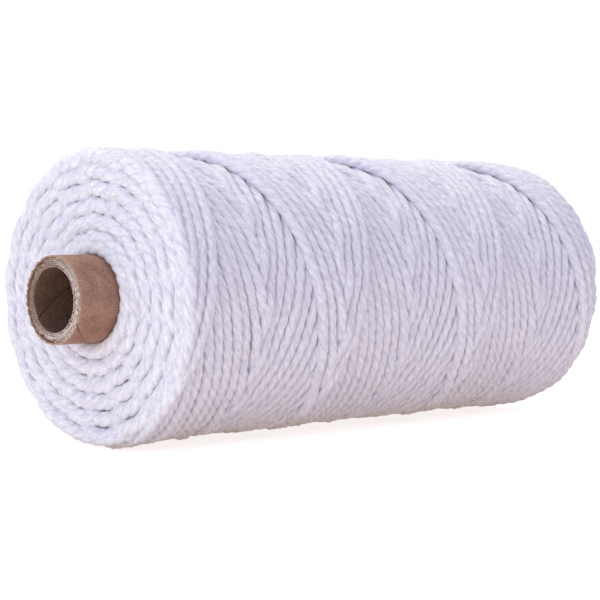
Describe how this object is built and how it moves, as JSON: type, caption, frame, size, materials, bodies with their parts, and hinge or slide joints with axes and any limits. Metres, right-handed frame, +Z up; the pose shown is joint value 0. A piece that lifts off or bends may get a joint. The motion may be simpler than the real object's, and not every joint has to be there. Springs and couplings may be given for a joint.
{
  "type": "cord spool",
  "caption": "Thick white twisted cotton cord, cross-wound in layers on a spiral paperboard tube that sticks out of both ends of the winding.",
  "frame": {"origin": "the middle of the tube's bore, on the spool's own axis", "axes": "+X along the tube's axis, from the end that faces the viewer to the far end; +Z up, with the spool lying on its side"},
  "size_m": [0.252, 0.102, 0.102],
  "materials": {
    "liner_paper": "matte",
    "grey_board": "matte",
    "kraft_wrap": "matte",
    "cotton_cord": "matte"
  },
  "bodies": {
    "root": {"core_inner_liner": "liner_paper", "core_board_ply_1": "grey_board", "core_board_ply_2": "grey_board", "core_board_ply_3": "grey_board", "core_board_ply_4": "grey_board", "core_outer_wrap": "kraft_wrap", "winding_layer_1": "cotton_cord", "winding_layer_2": "cotton_cord", "winding_layer_3": "cotton_cord", "winding_layer_4": "cotton_cord", "winding_layer_5": "cotton_cord", "winding_layer_6": "cotton_cord"}
  },
  "joints": []
}
